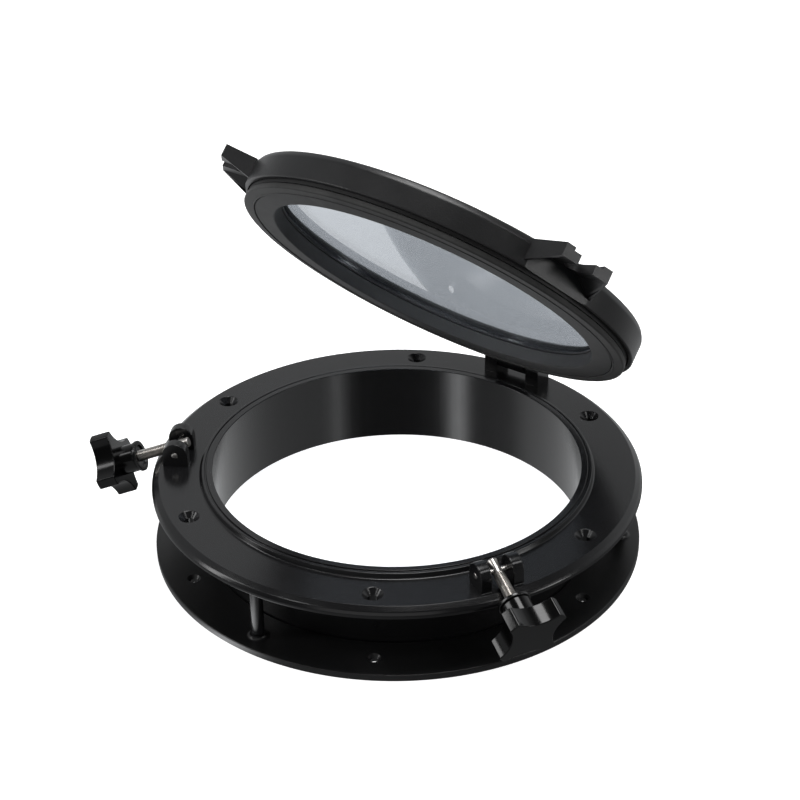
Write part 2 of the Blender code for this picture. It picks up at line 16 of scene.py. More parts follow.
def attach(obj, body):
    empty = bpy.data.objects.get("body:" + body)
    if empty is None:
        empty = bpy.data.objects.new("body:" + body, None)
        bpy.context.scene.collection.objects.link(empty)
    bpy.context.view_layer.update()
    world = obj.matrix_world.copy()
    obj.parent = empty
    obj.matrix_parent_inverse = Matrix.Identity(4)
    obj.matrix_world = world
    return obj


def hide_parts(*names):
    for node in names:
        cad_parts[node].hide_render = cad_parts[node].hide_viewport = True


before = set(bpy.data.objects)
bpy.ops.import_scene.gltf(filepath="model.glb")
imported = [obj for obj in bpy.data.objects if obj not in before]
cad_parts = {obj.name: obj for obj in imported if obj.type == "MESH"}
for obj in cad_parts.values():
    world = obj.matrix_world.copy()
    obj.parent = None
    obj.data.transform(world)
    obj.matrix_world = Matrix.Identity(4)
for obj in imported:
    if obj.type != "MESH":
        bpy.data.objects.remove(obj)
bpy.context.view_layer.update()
MM = 0.001
SCENE = bpy.context.scene
IDENTITY = Matrix.Identity(4)

# ---- dimensions (mm, degrees) ----------------------------------------------
FLANGE_R, FLANGE_T = 135.0, 5.4
SPIGOT_R, BORE_TOP_R, BORE_LOW_R = 107.4, 101.5, 103.0
COAMING_Z, RIM_Z, BOTTOM_Z = 8.5, 8.2, -38.7
LIFT = -BOTTOM_Z
TRIM_R, TRIM_T, TRIM_IN_R = 135.2, 4.0, 107.9
TRIM_TOP = BOTTOM_Z + TRIM_T
HOLE_PCR, PILLAR_PCR, PILLAR_R = 121.0, 124.0, 3.5
HOLE_ANGLES = [60 * k for k in range(6)]
PILLAR_ANGLES = (30, 150, 270)

HINGE_Y, HINGE_Z, LID_OPEN = 122.2, 14.5, 46.6
LUG_IN, LUG_OUT, LUG_R = 9.9, 18.6, 6.35
KNUCKLE_HALF, KNUCKLE_R = 9.4, 6.0
HINGE_PIN_R, HINGE_HOLE_R = 2.0, 2.3

LATCH = {"left": 210.0, "right": 330.0}
LATCH_RHO, LATCH_Z = 121.8, 12.2
EAR_IN, EAR_OUT, EAR_R = 6.0, 12.0, 7.0
LATCH_PIN_R, RIVET_R = 1.5, 1.9
BOLT_DROP, BOLT_R, BOLT_LEN = 20.5, 3.1, 35.0
PLAIN_R, PLAIN_END, BOLT_TAIL = 2.75, 2.5, 6.4
KNOB_AT = {"left": 23.3, "right": 20.0}         # along the bolt from its pin
WASHER_R, WASHER_T = 8.7, 1.8
COLLAR_R, COLLAR_END = 8.0, 11.6
STAR_R, STAR_T = 19.5, 11.2
STAR_TURN = {"left": -3.0, "right": 42.0}

LID_R, LID_UNDER_Z, LID_TOP_Z = 115.0, 8.8, 30.3
GLASS_R, GLASS_Z0, GLASS_Z1 = 98.0, 18.2, 26.2
SEAT_Z, SLOT_HALF, SEAT_HALF = 29.2, 4.9, 9.6

BIG = 224                                       # steps round the large rings
QUARTER = [math.radians(15 * k) for k in range(1, 7)]
AZ = 36.14                                      # turn of the view about +Z


# ---- axes ------------------------------------------------------------------
def rot(deg, axis):
    return Matrix.Rotation(math.radians(deg), 4, axis)


def move(x, y, z):
    return Matrix.Translation((x * MM, y * MM, z * MM))


def station(angle, rho=0.0):
    return rot(angle, 'Z') @ move(rho, 0, 0)


def side_on(angle, rho=0.0, z=0.0):
    """Axes for an outline drawn (radial, up) and extruded tangentially."""
    return rot(angle, 'Z') @ move(rho, 0, z) @ rot(90, 'X')


def bolt_axes(side):
    """+Z runs outward along the swing bolt, from its pin."""
    return rot(LATCH[side], 'Z') @ move(LATCH_RHO, 0, LATCH_Z) @ rot(90.0 + BOLT_DROP, 'Y')


def knob_axes(side):
    return bolt_axes(side) @ move(0, 0, KNOB_AT[side])


LID = move(0, HINGE_Y, HINGE_Z) @ rot(-LID_OPEN, 'X') @ move(0, -HINGE_Y, -HINGE_Z)
HINGE_AXES = side_on(90, HINGE_Y, HINGE_Z)


# ---- shader nodes ----------------------------------------------------------
def node(tree, kind, inputs=None, **props):
    """Add a node; an input given as a socket is linked, otherwise set."""
    made = tree.nodes.new(kind)
    for key, value in props.items():
        setattr(made, key, value)
    for key, value in (inputs or {}).items():
        if isinstance(value, bpy.types.NodeSocket):
            tree.links.new(value, made.inputs[key])
        else:
            made.inputs[key].default_value = value
    return made


def calc(tree, operation, *values):
    return node(tree, "ShaderNodeMath", dict(enumerate(values)), operation=operation).outputs[0]


def add(tree, total, *terms):
    for term in terms:
        total = calc(tree, 'ADD', total, term)
    return total


def mul(tree, product, *factors):
    for factor in factors:
        product = calc(tree, 'MULTIPLY', product, factor)
    return product


def sub(tree, first, second):
    return calc(tree, 'SUBTRACT', first, second)


def smooth(tree, value, start, end):
    """0 at start rising smoothly to 1 at end; start may be the larger."""
    return node(tree, "ShaderNodeMapRange", {0: value, 1: start, 2: end},
                interpolation_type='SMOOTHSTEP').outputs[0]


def hump(tree, value, centre, width):
    """A Gaussian of height 1."""
    off = calc(tree, 'DIVIDE', sub(tree, value, centre), width)
    return calc(tree, 'EXPONENT', mul(tree, off, off, -1.0))


def mix_colour(tree, factor, first, second):
    return node(tree, "ShaderNodeMix", {0: factor, 6: first, 7: second},
                data_type='RGBA').outputs[2]


def rgb(colour, factor=1.0):
    return (*(c * factor for c in colour), 1.0)


def noise(tree, co, scale, detail=2.0, rough=0.5):
    return node(tree, "ShaderNodeTexNoise", {"Vector": co, "Scale": scale, "Detail": detail,
                                             "Roughness": rough}).outputs[0]


def line_noise(tree, position, detail):
    return node(tree, "ShaderNodeTexNoise", {"W": position, "Scale": 1.0, "Detail": detail},
                noise_dimensions='1D').outputs[0]


def bump(tree, height, depth, strength=1.0, **under):
    """A bump of the given depth in mm, over an optional Normal."""
    return node(tree, "ShaderNodeBump", {"Strength": strength, "Distance": depth * MM,
                                         "Height": height, **under}).outputs[0]


def object_coords(tree):
    return node(tree, "ShaderNodeTexCoord").outputs["Object"]


def separate(tree, vector):
    return node(tree, "ShaderNodeSeparateXYZ", {"Vector": vector}).outputs


def straight_view(tree, rays):
    """1 for a ray passed on through the pane without a glossy bounce."""
    return mul(tree, rays.outputs["Is Transmission Ray"],
               calc(tree, 'LESS_THAN', rays.outputs["Glossy Depth"], 0.5))


# ---- materials -------------------------------------------------------------
def new_material(name):
    """The material, its node tree and a function that feeds the main shader."""
    mat = bpy.data.materials.new(name)
    mat.use_nodes = True
    tree = mat.node_tree
    shader = tree.nodes["Principled BSDF"]

    def feed(inputs):
        for key, value in inputs.items():
            if isinstance(value, bpy.types.NodeSocket):
                tree.links.new(value, shader.inputs[key])
            else:
                shader.inputs[key].default_value = value
    return mat, tree, feed


def plastic(name, base, rough, grain=(1500.0, 0.020), peel=(260.0, 0.012), var=0.25,
            spec=0.5, edge=0.5, streaks=0.0):
    """Moulded plastic with dust specks and polished edges.

    grain and peel are (scale, depth in mm) of the fine texture and the orange
    peel; var is the spread of the colour, edge the wear, streaks the gloss of
    draw marks that run along the hatch axis.
    """
    mat, tree, feed = new_material(name)
    co = object_coords(tree)
    broad = noise(tree, co, scale=22.0, detail=3.0, rough=0.6)
    fine = noise(tree, co, scale=grain[0], rough=0.6)
    cloud = noise(tree, co, scale=90.0, detail=4.0, rough=0.65)
    point = node(tree, "ShaderNodeNewGeometry").outputs["Pointiness"]
    worn = smooth(tree, point, start=0.53, end=0.60)
    colour = mix_colour(tree, broad, rgb(base, 1.0 - var), rgb(base, 1.0 + var))
    cells = node(tree, "ShaderNodeTexVoronoi", {"Vector": co, "Scale": 110.0},
                 feature='F1').outputs["Distance"]
    speck = mul(tree, smooth(tree, cells, start=0.045, end=0.015),
                smooth(tree, cloud, start=0.55, end=0.68))
    dust, dust_cover, wear_pale = (0.16, 0.16, 0.155), 0.25, 2.4
    colour = mix_colour(tree, mul(tree, speck, dust_cover), colour, rgb(dust))
    colour = mix_colour(tree, mul(tree, worn, 0.35 * edge), colour, rgb(base, wear_pale))
    # gloss varies with the cloud, and worn edges are shinier
    gloss = add(tree, rough - 0.05, mul(tree, cloud, 0.10), mul(tree, worn, -0.06 * edge))
    if streaks:
        x, y, _ = separate(tree, co)
        angle = calc(tree, 'ARCTAN2', y, x)
        marks = line_noise(tree, mul(tree, angle, 34.0), detail=3.0)
        gloss = add(tree, gloss, mul(tree, sub(tree, marks, 0.5), streaks))
    wavy = bump(tree, noise(tree, co, scale=peel[0]), depth=peel[1])
    feed({"Base Color": colour, "Roughness": calc(tree, 'MAXIMUM', gloss, 0.03),
          "Specular IOR Level": spec, "Coat Roughness": 0.1,
          "Normal": bump(tree, fine, depth=grain[1], Normal=wavy)})
    return mat


def rubber(name, base, rough):
    """Matt rubber with a fine grain and broad patches of shade."""
    mat, tree, feed = new_material(name)
    co = object_coords(tree)
    broad = noise(tree, co, scale=30.0, detail=4.0, rough=0.6)
    fine = noise(tree, co, scale=900.0, detail=3.0, rough=0.6)
    patch = smooth(tree, broad, start=0.35, end=0.7)
    feed({"Base Color": mix_colour(tree, patch, rgb(base, 0.75), rgb(base, 1.3)),
          "Roughness": add(tree, rough - 0.08, mul(tree, fine, 0.16)),
          "Specular IOR Level": 0.35, "Sheen Weight": 0.06, "Sheen Roughness": 0.5,
          "Normal": bump(tree, fine, depth=0.03)})
    return mat


def metal(name, base, rough, axes=IDENTITY):
    """Turned metal: fine rings across the Z of axes, small stains."""
    mat, tree, feed = new_material(name)
    co = object_coords(tree)
    place, turn, _ = (move(0, 0, LIFT) @ axes).inverted().decompose()
    local = node(tree, "ShaderNodeMapping", {"Vector": co, "Location": place,
                                             "Rotation": turn.to_euler()}).outputs[0]
    along = mul(tree, separate(tree, local)[2], 9000.0)      # rings per metre
    rings = line_noise(tree, along, detail=2.0)
    stain = noise(tree, co, scale=380.0, detail=4.0, rough=0.65)
    stained = smooth(tree, stain, start=0.4, end=0.75)
    feed({"Base Color": mix_colour(tree, stained, rgb(base), rgb(base, 0.72)),
          "Metallic": 1.0,
          "Roughness": add(tree, rough - 0.04, mul(tree, stain, 0.12)),
          "Normal": bump(tree, rings, depth=0.012, strength=0.6)})
    return mat


def acrylic(name, tint, shadow):
    """Smoked pane: tinted body, polished faces, faint haze, clear to shadow rays."""
    mat, tree, feed = new_material(name)
    co = object_coords(tree)
    haze = noise(tree, co, scale=60.0, detail=4.0, rough=0.6)
    fine = noise(tree, co, scale=2200.0, rough=0.6)
    wave = noise(tree, co, scale=35.0, detail=1.0, rough=0.4)
    feed({"Base Color": mix_colour(tree, haze, rgb(tint), rgb(tint, 1.05)),
          "Transmission Weight": 1.0, "IOR": 1.49,
          "Roughness": add(tree, 0.012, mul(tree, fine, 0.05)),
          "Normal": bump(tree, wave, depth=0.02)})
    clear = node(tree, "ShaderNodeBsdfTransparent", {"Color": rgb(shadow)})
    rays = node(tree, "ShaderNodeLightPath")
    body = tree.nodes["Principled BSDF"]
    mixed = node(tree, "ShaderNodeMixShader", {0: rays.outputs["Is Shadow Ray"],
                                               1: body.outputs[0], 2: clear.outputs[0]})
    tree.links.new(mixed.outputs[0], tree.nodes["Material Output"].inputs["Surface"])
    return mat


STEEL_RGB = (0.70, 0.675, 0.645)
BOLT_RGB = (0.60, 0.575, 0.545)
MAT = {
    "frame": plastic("frame_abs", base=(0.0085, 0.0085, 0.0092), rough=0.20,
                     grain=(1700.0, 0.016), peel=(240.0, 0.010)),
    # a copy of the frame plastic with a darker base colour: painted shade inside the bore
    "bore": plastic("bore_abs_painted_shade", base=(0.004, 0.004, 0.0044), rough=0.20,
                    grain=(1500.0, 0.006), peel=(160.0, 0.010), streaks=0.10),
    "trim": plastic("trim_abs", base=(0.012, 0.012, 0.0125), rough=0.34, grain=(1200.0, 0.022)),
    "lid": plastic("lid_abs", base=(0.0085, 0.0085, 0.0092), rough=0.36,
                   grain=(1300.0, 0.050), peel=(300.0, 0.02)),
    "ring": plastic("lid_ring_abs", base=(0.030, 0.030, 0.0305), rough=0.58,
                    grain=(1300.0, 0.045), var=0.35, spec=0.40),
    "gasket": rubber("gasket_rubber", base=(0.032, 0.032, 0.0315), rough=0.60),
    "seal": rubber("seal_rubber", base=(0.012, 0.012, 0.013), rough=0.6),
    "knob": plastic("knob_abs", base=(0.0025, 0.0025, 0.0026), rough=0.16,
                    grain=(1400.0, 0.006), peel=(200.0, 0.010), spec=0.36, edge=0.3),
    "washer": plastic("washer_nylon", base=(0.0035, 0.0035, 0.0036), rough=0.22,
                      grain=(1600.0, 0.01)),
    "pane": acrylic("pane_acrylic", tint=(0.52, 0.56, 0.61), shadow=(0.62, 0.65, 0.69)),
    "brass": metal("insert_brass", base=(0.70, 0.52, 0.25), rough=0.28),
}


# ---- outlines --------------------------------------------------------------
def fillet(corners, seg=6):
    """A closed outline, each (x, y, radius) corner rounded by seg steps per 90 degrees."""
    outline = []
    for i, (x, y, radius) in enumerate(corners):
        corner = Vector((x, y))
        back = Vector(corners[i - 1][:2]) - corner
        ahead = Vector(corners[(i + 1) % len(corners)][:2]) - corner
        limit = 0.49 * min(back.length, ahead.length)
        back.normalize()
        ahead.normalize()
        half = math.acos(back.dot(ahead)) / 2
        reach = radius / math.tan(half)
        if reach > limit:
            reach = limit
            radius = reach * math.tan(half)
        centre = corner + (back + ahead).normalized() * (radius / math.sin(half))
        first = corner + back * reach - centre
        last = corner + ahead * reach - centre
        start = math.atan2(first.y, first.x)
        sweep = math.atan2(last.y, last.x) - start
        sweep = (sweep + math.pi) % (2 * math.pi) - math.pi
        steps = max(2, math.ceil(abs(sweep) / math.radians(90) * seg))
        for j in range(steps + 1):
            angle = start + sweep * j / steps
            outline.append((centre.x + radius * math.cos(angle),
                            centre.y + radius * math.sin(angle)))
    return outline


def arc(cx, cy, radius, start, end, steps):
    angles = [math.radians(start + (end - start) * i / steps) for i in range(steps + 1)]
    return [(cx + radius * math.cos(a), cy + radius * math.sin(a)) for a in angles]


def mirrored(half):
    """A half outline and its reflection in x = 0."""
    return half + [(-x, y) for x, y in reversed(half)]


def open_slot(cx, half, end, steps):
    """A slot with a round inner end at cx, running out along +X to end."""
    return arc(cx, 0, half, 90, 270, steps) + [(end, -half), (end, half)]


# ---- meshes ----------------------------------------------------------------
def to_mesh(bm, name):
    me = bpy.data.meshes.new(name)
    bm.to_mesh(me)
    bm.free()
    return me


def mesh_from(verts, faces):
    me = bpy.data.meshes.new("m")
    me.from_pydata(verts, [], faces)
    me.validate()
    bm = bmesh.new()
    bm.from_mesh(me)
    bmesh.ops.recalc_face_normals(bm, faces=bm.faces)
    bm.to_mesh(me)
    bm.free()
    return me


def lathe(profile, steps, axes=IDENTITY):
    """Turn an (r, z) outline about Z.  Ends on the axis close to a point."""
    verts, faces, rings = [], [], []
    for r, z in profile:
        count = steps if r else 1
        rings.append(range(len(verts), len(verts) + count))
        for k in range(count):
            a = 2 * math.pi * k / steps
            verts.append(axes @ Vector((r * math.cos(a) * MM, r * math.sin(a) * MM, z * MM)))
    following = rings[1:]
    if len(rings[0]) > 1 and len(rings[-1]) > 1:
        following.append(rings[0])
    for a, b in zip(rings, following):
        for k in range(steps):
            j = (k + 1) % steps
            if len(a) == 1:
                faces.append((a[0], b[k], b[j]))
            elif len(b) == 1:
                faces.append((a[k], b[0], a[j]))
            else:
                faces.append((a[k], b[k], b[j], a[j]))
    return mesh_from(verts, faces)


def cylinder(radius, z0, z1, axes=IDENTITY, steps=40):
    return lathe([(0, z1), (radius, z1), (radius, z0), (0, z0)], steps, axes)


def prism(outline, z0, z1, axes=IDENTITY, round_by=0.0):
    """A flat outline given thickness, its two rims rounded."""
    count = len(outline)
    bm = bmesh.new()
    low = [bm.verts.new((x * MM, y * MM, z0 * MM)) for x, y in outline]
    high = [bm.verts.new((x * MM, y * MM, z1 * MM)) for x, y in outline]
    ends = bm.faces.new(low), bm.faces.new(high)
    for i in range(count):
        j = (i + 1) % count
        bm.faces.new((low[i], low[j], high[j], high[i]))
    bmesh.ops.recalc_face_normals(bm, faces=bm.faces)
    if round_by:
        bmesh.ops.bevel(bm, geom=list(ends[0].edges) + list(ends[1].edges),
                        offset=round_by * MM, segments=3, profile=0.5,
                        affect='EDGES', clamp_overlap=True)
    bmesh.ops.transform(bm, matrix=axes, verts=bm.verts)
    return to_mesh(bm, "prism")


def stack(meshes):
    bm = bmesh.new()
    for me in meshes:
        bm.from_mesh(me)
    return to_mesh(bm, "stack")


def work_object(name, me):
    ob = bpy.data.objects.new(name, me)
    SCENE.collection.objects.link(ob)
    return ob


def evaluated(ob):
    bpy.context.view_layer.update()
    graph = bpy.context.evaluated_depsgraph_get()
    return bpy.data.meshes.new_from_object(ob.evaluated_get(graph))


def combine(base, *steps):
    """Exact boolean steps on a mesh, each (operation, mesh)."""
    ob = work_object("work", base)
    made = [ob]
    for operation, me in steps:
        cutter = work_object("cut", me)
        made.append(cutter)
        boolean = ob.modifiers.new(operation, 'BOOLEAN')
        boolean.operation = operation
        boolean.object = cutter
        boolean.solver = 'EXACT'
    out = evaluated(ob)
    for item in made:
        bpy.data.objects.remove(item, do_unlink=True)
    return out


def soften(me, width, segments, angle):
    """Round every edge sharper than angle."""
    ob = work_object("work", me)
    bevel = ob.modifiers.new("b", 'BEVEL')
    bevel.width = width * MM
    bevel.segments = segments
    bevel.limit_method = 'ANGLE'
    bevel.angle_limit = math.radians(angle)
    bevel.use_clamp_overlap = True
    out = evaluated(ob)
    bpy.data.objects.remove(ob, do_unlink=True)
    return out


def tidy(me):
    """Merge doubled points and drop degenerate edges and loose points."""
    bm = bmesh.new()
    bm.from_mesh(me)
    bmesh.ops.remove_doubles(bm, verts=bm.verts, dist=2e-6)
    bmesh.ops.dissolve_degenerate(bm, edges=bm.edges, dist=1e-6)
    loose = [v for v in bm.verts if not v.link_faces]
    bmesh.ops.delete(bm, geom=loose, context='VERTS')
    bm.to_mesh(me)
    bm.free()


def piece(frame_node, me, mat, body, axes=IDENTITY, sharp=32):
    """Place a mesh as the visible piece for frame_node, riding on body."""
    me.transform(axes)
    me.transform(move(0, 0, LIFT))
    tidy(me)
    me.materials.clear()
    me.materials.append(mat)
    for face in me.polygons:
        face.material_index = 0
    me.shade_smooth()
    me.set_sharp_from_angle(angle=math.radians(sharp))
    ob = work_object(frame_node + "_body", me)
    normals = ob.modifiers.new("Normals", 'WEIGHTED_NORMAL')
    normals.keep_sharp = True
    normals.weight = 60
    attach(ob, body)
    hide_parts(frame_node)


def countersink(r_small, r_big, depth, z_face, axes):
    """A countersink cutter whose mouth rolls over into the face."""
    roll_depth, roll_width = 0.30, 0.50
    lip_r = r_big - roll_depth * (r_big - r_small) / depth
    profile = [(0, z_face - depth), (r_small, z_face - depth), (lip_r, z_face - roll_depth)]
    for k in range(1, 5):
        f = k / 5
        profile.append((lip_r + roll_width * f, z_face - roll_depth * (1 - f) ** 2))
    mouth = profile[-1][0] + 0.25
    profile += [(mouth, z_face + 0.05), (mouth, z_face + 1.0), (0, z_face + 1.0)]
    return lathe(profile[::-1], 56, axes)


# ---- main frame ------------------------------------------------------------
FRAME_CORNERS = [                               # r, z, fillet
    (BORE_TOP_R, COAMING_Z, 0.38), (104.95, COAMING_Z, 0.28), (105.15, 7.6, 0.16),
    (105.8, 7.6, 0.16), (106.0, RIM_Z, 0.22), (107.45, RIM_Z, 0.55), (108.35, FLANGE_T, 0.9),
    (131.0, FLANGE_T, 0.28), (133.7, 3.5, 2.5), (FLANGE_R, 1.7, 2.0), (FLANGE_R, 0.0, 0.45),
    (SPIGOT_R, 0.0, 0.6), (SPIGOT_R, BOTTOM_Z, 0.6), (BORE_LOW_R, BOTTOM_Z, 0.5)]


def ear_pair(inner, outer, cx, cz, radius, foot, angle):
    """Two round-topped ears on the flange, flared at the foot, either side of angle."""
    flank = [(radius + foot + 0.5, FLANGE_T - 1.0), (radius + foot + 0.5, FLANGE_T - 0.05)]
    flank += [(radius + foot * (1 - math.sin(a)), FLANGE_T + foot * (1 - math.cos(a)))
              for a in QUARTER]
    outline = ([(cx + x, z) for x, z in flank] + arc(cx, cz, radius, 0, 180, 32)
               + [(cx - x, z) for x, z in reversed(flank)])
    return [prism(outline, t0, t1, side_on(angle), round_by=0.45)
            for t0, t1 in ((inner, outer), (-outer, -inner))]


def pillar(angle):
    """A post under the flange, flared at its top."""
    flare, end = 0.9, -32.7
    profile = [(0, 1.0), (PILLAR_R + 1.2, 1.0), (PILLAR_R + 1.0, 0.0)]
    profile += [(PILLAR_R + flare * (1 - math.sin(a)), -flare * (1 - math.cos(a)) - 0.02)
                for a in QUARTER]
    profile += [(PILLAR_R, -32.0), (PILLAR_R - 0.3, -32.6), (PILLAR_R - 0.8, end), (0, end)]
    return lathe(profile, 48, station(angle, PILLAR_PCR))


def main_frame():
    added, holes, sinks = [], [], []
    for angle in LATCH.values():
        added += ear_pair(EAR_IN, EAR_OUT, LATCH_RHO, LATCH_Z, EAR_R, foot=0.5, angle=angle)
    added += ear_pair(LUG_IN, LUG_OUT, HINGE_Y, HINGE_Z, LUG_R, foot=0.3, angle=90)
    added += [pillar(angle) for angle in PILLAR_ANGLES]
    for angle in HOLE_ANGLES:
        axes = station(angle, HOLE_PCR)
        holes.append(cylinder(2.75, -1.0, 7.0, axes, 48))
        sinks.append(countersink(2.6, 5.65, depth=3.1, z_face=FLANGE_T, axes=axes))
    for angle in PILLAR_ANGLES:
        axes = station(angle, PILLAR_PCR) @ rot(4.0, 'Z')
        holes.append(cylinder(1.8, -34.0, -14.0, axes, 24))
    # latch pin holes, wider where the pin's riveted ends sit
    pin_hole = [(0, 15.0), (2.15, 15.0), (2.15, 10.8), (1.8, 10.8)]
    pin_hole += [(r, -z) for r, z in reversed(pin_hole)]
    for angle in LATCH.values():
        holes.append(lathe(pin_hole, 36, side_on(angle, LATCH_RHO, LATCH_Z)))
    holes.append(cylinder(HINGE_HOLE_R, -22.0, 22.0, HINGE_AXES, 32))
    return combine(lathe(fillet(FRAME_CORNERS), BIG), ('UNION', stack(added)),
                   ('DIFFERENCE', stack(holes)), ('DIFFERENCE', stack(sinks)))


frame_mesh = main_frame()
piece("main_frame", frame_mesh, MAT["frame"], "root")
# the bore takes the more polished material, a copy of the frame plastic whose darker base colour is
# painted shade inside the bore
BORE_FACE_TOP, BORE_FACE_R = 8.0, 103.3
frame_mesh.materials.append(MAT["bore"])
for polygon in frame_mesh.polygons:
    centre = polygon.center / MM
    if centre.z < BORE_FACE_TOP + LIFT and math.hypot(centre.x, centre.y) < BORE_FACE_R:
        polygon.material_index = 1

# ---- clamping ring and its screws ------------------------------------------
TRIM_CORNERS = [                                # r, z, fillet
    (TRIM_IN_R, TRIM_TOP, 0.5), (TRIM_R, TRIM_TOP, 0.75),
    (TRIM_R, BOTTOM_Z, 0.75), (TRIM_IN_R, BOTTOM_Z, 0.5)]
BOSS_PROFILE = (                                # flared boss round each screw: r, z
    [(0, -33.0), (4.0, -33.0), (4.4, -33.2)]
    + [(4.55 + 1.9 * (1 - math.cos(a)), TRIM_TOP + 1.4 * (1 - math.sin(a))) for a in QUARTER]
    + [(6.6, TRIM_TOP - 0.8), (0, TRIM_TOP - 0.8)])
SCREW_SINK = [                                  # cutter under the ring: r, z
    (0, BOTTOM_Z + 2.2), (2.0, BOTTOM_Z + 2.2), (4.3, BOTTOM_Z + 0.1),
    (4.9, BOTTOM_Z - 0.4), (0, BOTTOM_Z - 0.5)]


def trim_ring():
    bosses, holes, sinks = [], [], []
    for angle in PILLAR_ANGLES:
        axes = station(angle, PILLAR_PCR)
        bosses.append(lathe(BOSS_PROFILE, 56, axes))
        holes.append(cylinder(2.1, -41.0, -31.0, axes, 32))
        sinks.append(lathe(SCREW_SINK, 48, axes))
    for angle in HOLE_ANGLES:
        axes = station(angle, HOLE_PCR)
        holes.append(cylinder(2.0, -41.0, -32.0, axes, 40))
        sinks.append(countersink(1.9, 3.6, depth=2.0, z_face=TRIM_TOP, axes=axes))
    return combine(lathe(fillet(TRIM_CORNERS), BIG), ('UNION', stack(bosses)),
                   ('DIFFERENCE', stack(holes)), ('DIFFERENCE', stack(sinks)))


def trim_screw():
    """A countersunk screw, head down, with a cross recess."""
    crest, root, pitch = 1.45, 1.12, 0.9
    profile = [(0.0, -19.0), (0.5, -19.2), (crest, -21.0)]
    z = -21.5
    while z > BOTTOM_Z + 3.2:
        profile += [(crest, z), (root, z - 0.25), (root, z - 0.40), (crest, z - 0.60)]
        z -= pitch
    profile += [(crest, BOTTOM_Z + 2.5), (3.55, BOTTOM_Z + 0.42), (3.65, BOTTOM_Z + 0.30),
                (3.55, BOTTOM_Z + 0.14), (3.3, BOTTOM_Z + 0.10), (0.0, BOTTOM_Z + 0.10)]
    w, r = 0.75 / 2, 1.9                        # half width and reach of the recess arms
    cross = [(w, w), (w, r), (-w, r), (-w, w), (-r, w), (-r, -w),
             (-w, -w), (-w, -r), (w, -r), (w, -w), (r, -w), (r, w)]
    return combine(lathe(profile, 40),
                   ('DIFFERENCE', prism(cross, BOTTOM_Z - 1.0, BOTTOM_Z + 1.3)))


piece("trim_ring", trim_ring(), MAT["trim"], "root")
for i, angle in enumerate(PILLAR_ANGLES, 1):
    axes = station(angle, PILLAR_PCR)
    steel = metal("screw_steel_%d" % i, base=STEEL_RGB, rough=0.24, axes=axes)
    piece("trim_screw_%d" % i, trim_screw(), steel, "root", axes)

# ---- lid frame, drawn closed -----------------------------------------------
LID_CORNERS = [                                 # r, z, fillet
    (93.6, LID_TOP_Z - 2.7, 0.15), (93.4, 28.1, 0.3), (97.2, LID_TOP_Z, 1.0),
    (110.9, LID_TOP_Z, 2.2), (113.6, 29.5, 2.4), (LID_R, 26.6, 3.5), (114.75, 14.2, 0.75),
    (112.0, 14.2, 0.7), (112.0, 21.0, 0.25), (98.4, 21.0, 0.1), (98.4, 27.6, 0.1)]
FORK_ENDS = ((112.4, 22.3, 17.6, 28.9),         # rho, half width, bottom z, top z
             (132.0, 15.3, 24.0, 31.0))
FORK_FACES = ((0, 2, 3, 1), (4, 5, 7, 6), (0, 1, 5, 4),
              (2, 6, 7, 3), (0, 4, 6, 2), (1, 3, 7, 5))
# hollow under a fork: half sections (half width, z) at two radii, cut from ARCH_START
ARCH_START, ARCH_ROOT_RHO, ARCH_TIP_RHO = 112.0, 113.0, 132.5
ARCH_ROOT = [(20.3, 8.0), (20.3, 19.0), (18.5, 19.5), (8.5, 25.4)]
ARCH_TIP = [(15.2, 8.0), (15.2, 23.6), (13.5, 23.8), (6.5, 23.9)]
POCKET_HALF = [(20.25, 8.0), (20.25, 18.9), (18.4, 19.4), (8.45, 25.3)]   # half width, z
CUT_TOP, CUT_END = 38, 138                      # where the open cuts stop, clear of the fork


def arch():
    f = (ARCH_START - ARCH_ROOT_RHO) / (ARCH_TIP_RHO - ARCH_ROOT_RHO)
    start = [(a[0] + (b[0] - a[0]) * f, a[1] + (b[1] - a[1]) * f)
             for a, b in zip(ARCH_ROOT, ARCH_TIP)]
    bm = bmesh.new()
    near, far = [[bm.verts.new((x * MM, y * MM, z * MM)) for y, z in mirrored(half)]
                 for x, half in ((ARCH_START, start), (ARCH_TIP_RHO, ARCH_TIP))]
    bm.faces.new(near)
    bm.faces.new(far)
    for i in range(len(near)):
        j = (i + 1) % len(near)
        bm.faces.new((near[i], near[j], far[j], far[i]))
    bmesh.ops.triangulate(bm, faces=list(bm.faces))
    bmesh.ops.recalc_face_normals(bm, faces=bm.faces)
    return to_mesh(bm, "arch")


def fork_block():
    """Tapered block on the lid's rim, slotted for the bolt and recessed for the washer."""
    bm = bmesh.new()
    corners = [bm.verts.new((rho * MM, sign * half * MM, z * MM))
               for rho, half, bottom, top in FORK_ENDS
               for sign in (-1, 1) for z in (bottom, top)]
    for quad in FORK_FACES:
        bm.faces.new([corners[i] for i in quad])
    bmesh.ops.recalc_face_normals(bm, faces=bm.faces)
    slot = prism(open_slot(121.2, SLOT_HALF, CUT_END, 28), 8, CUT_TOP)
    seat = prism(open_slot(LATCH_RHO, SEAT_HALF, CUT_END, 36), SEAT_Z, CUT_TOP)
    me = combine(to_mesh(bm, "fork"), ('DIFFERENCE', arch()), ('DIFFERENCE', slot),
                 ('DIFFERENCE', seat))
    return soften(me, width=0.32, segments=3, angle=28)


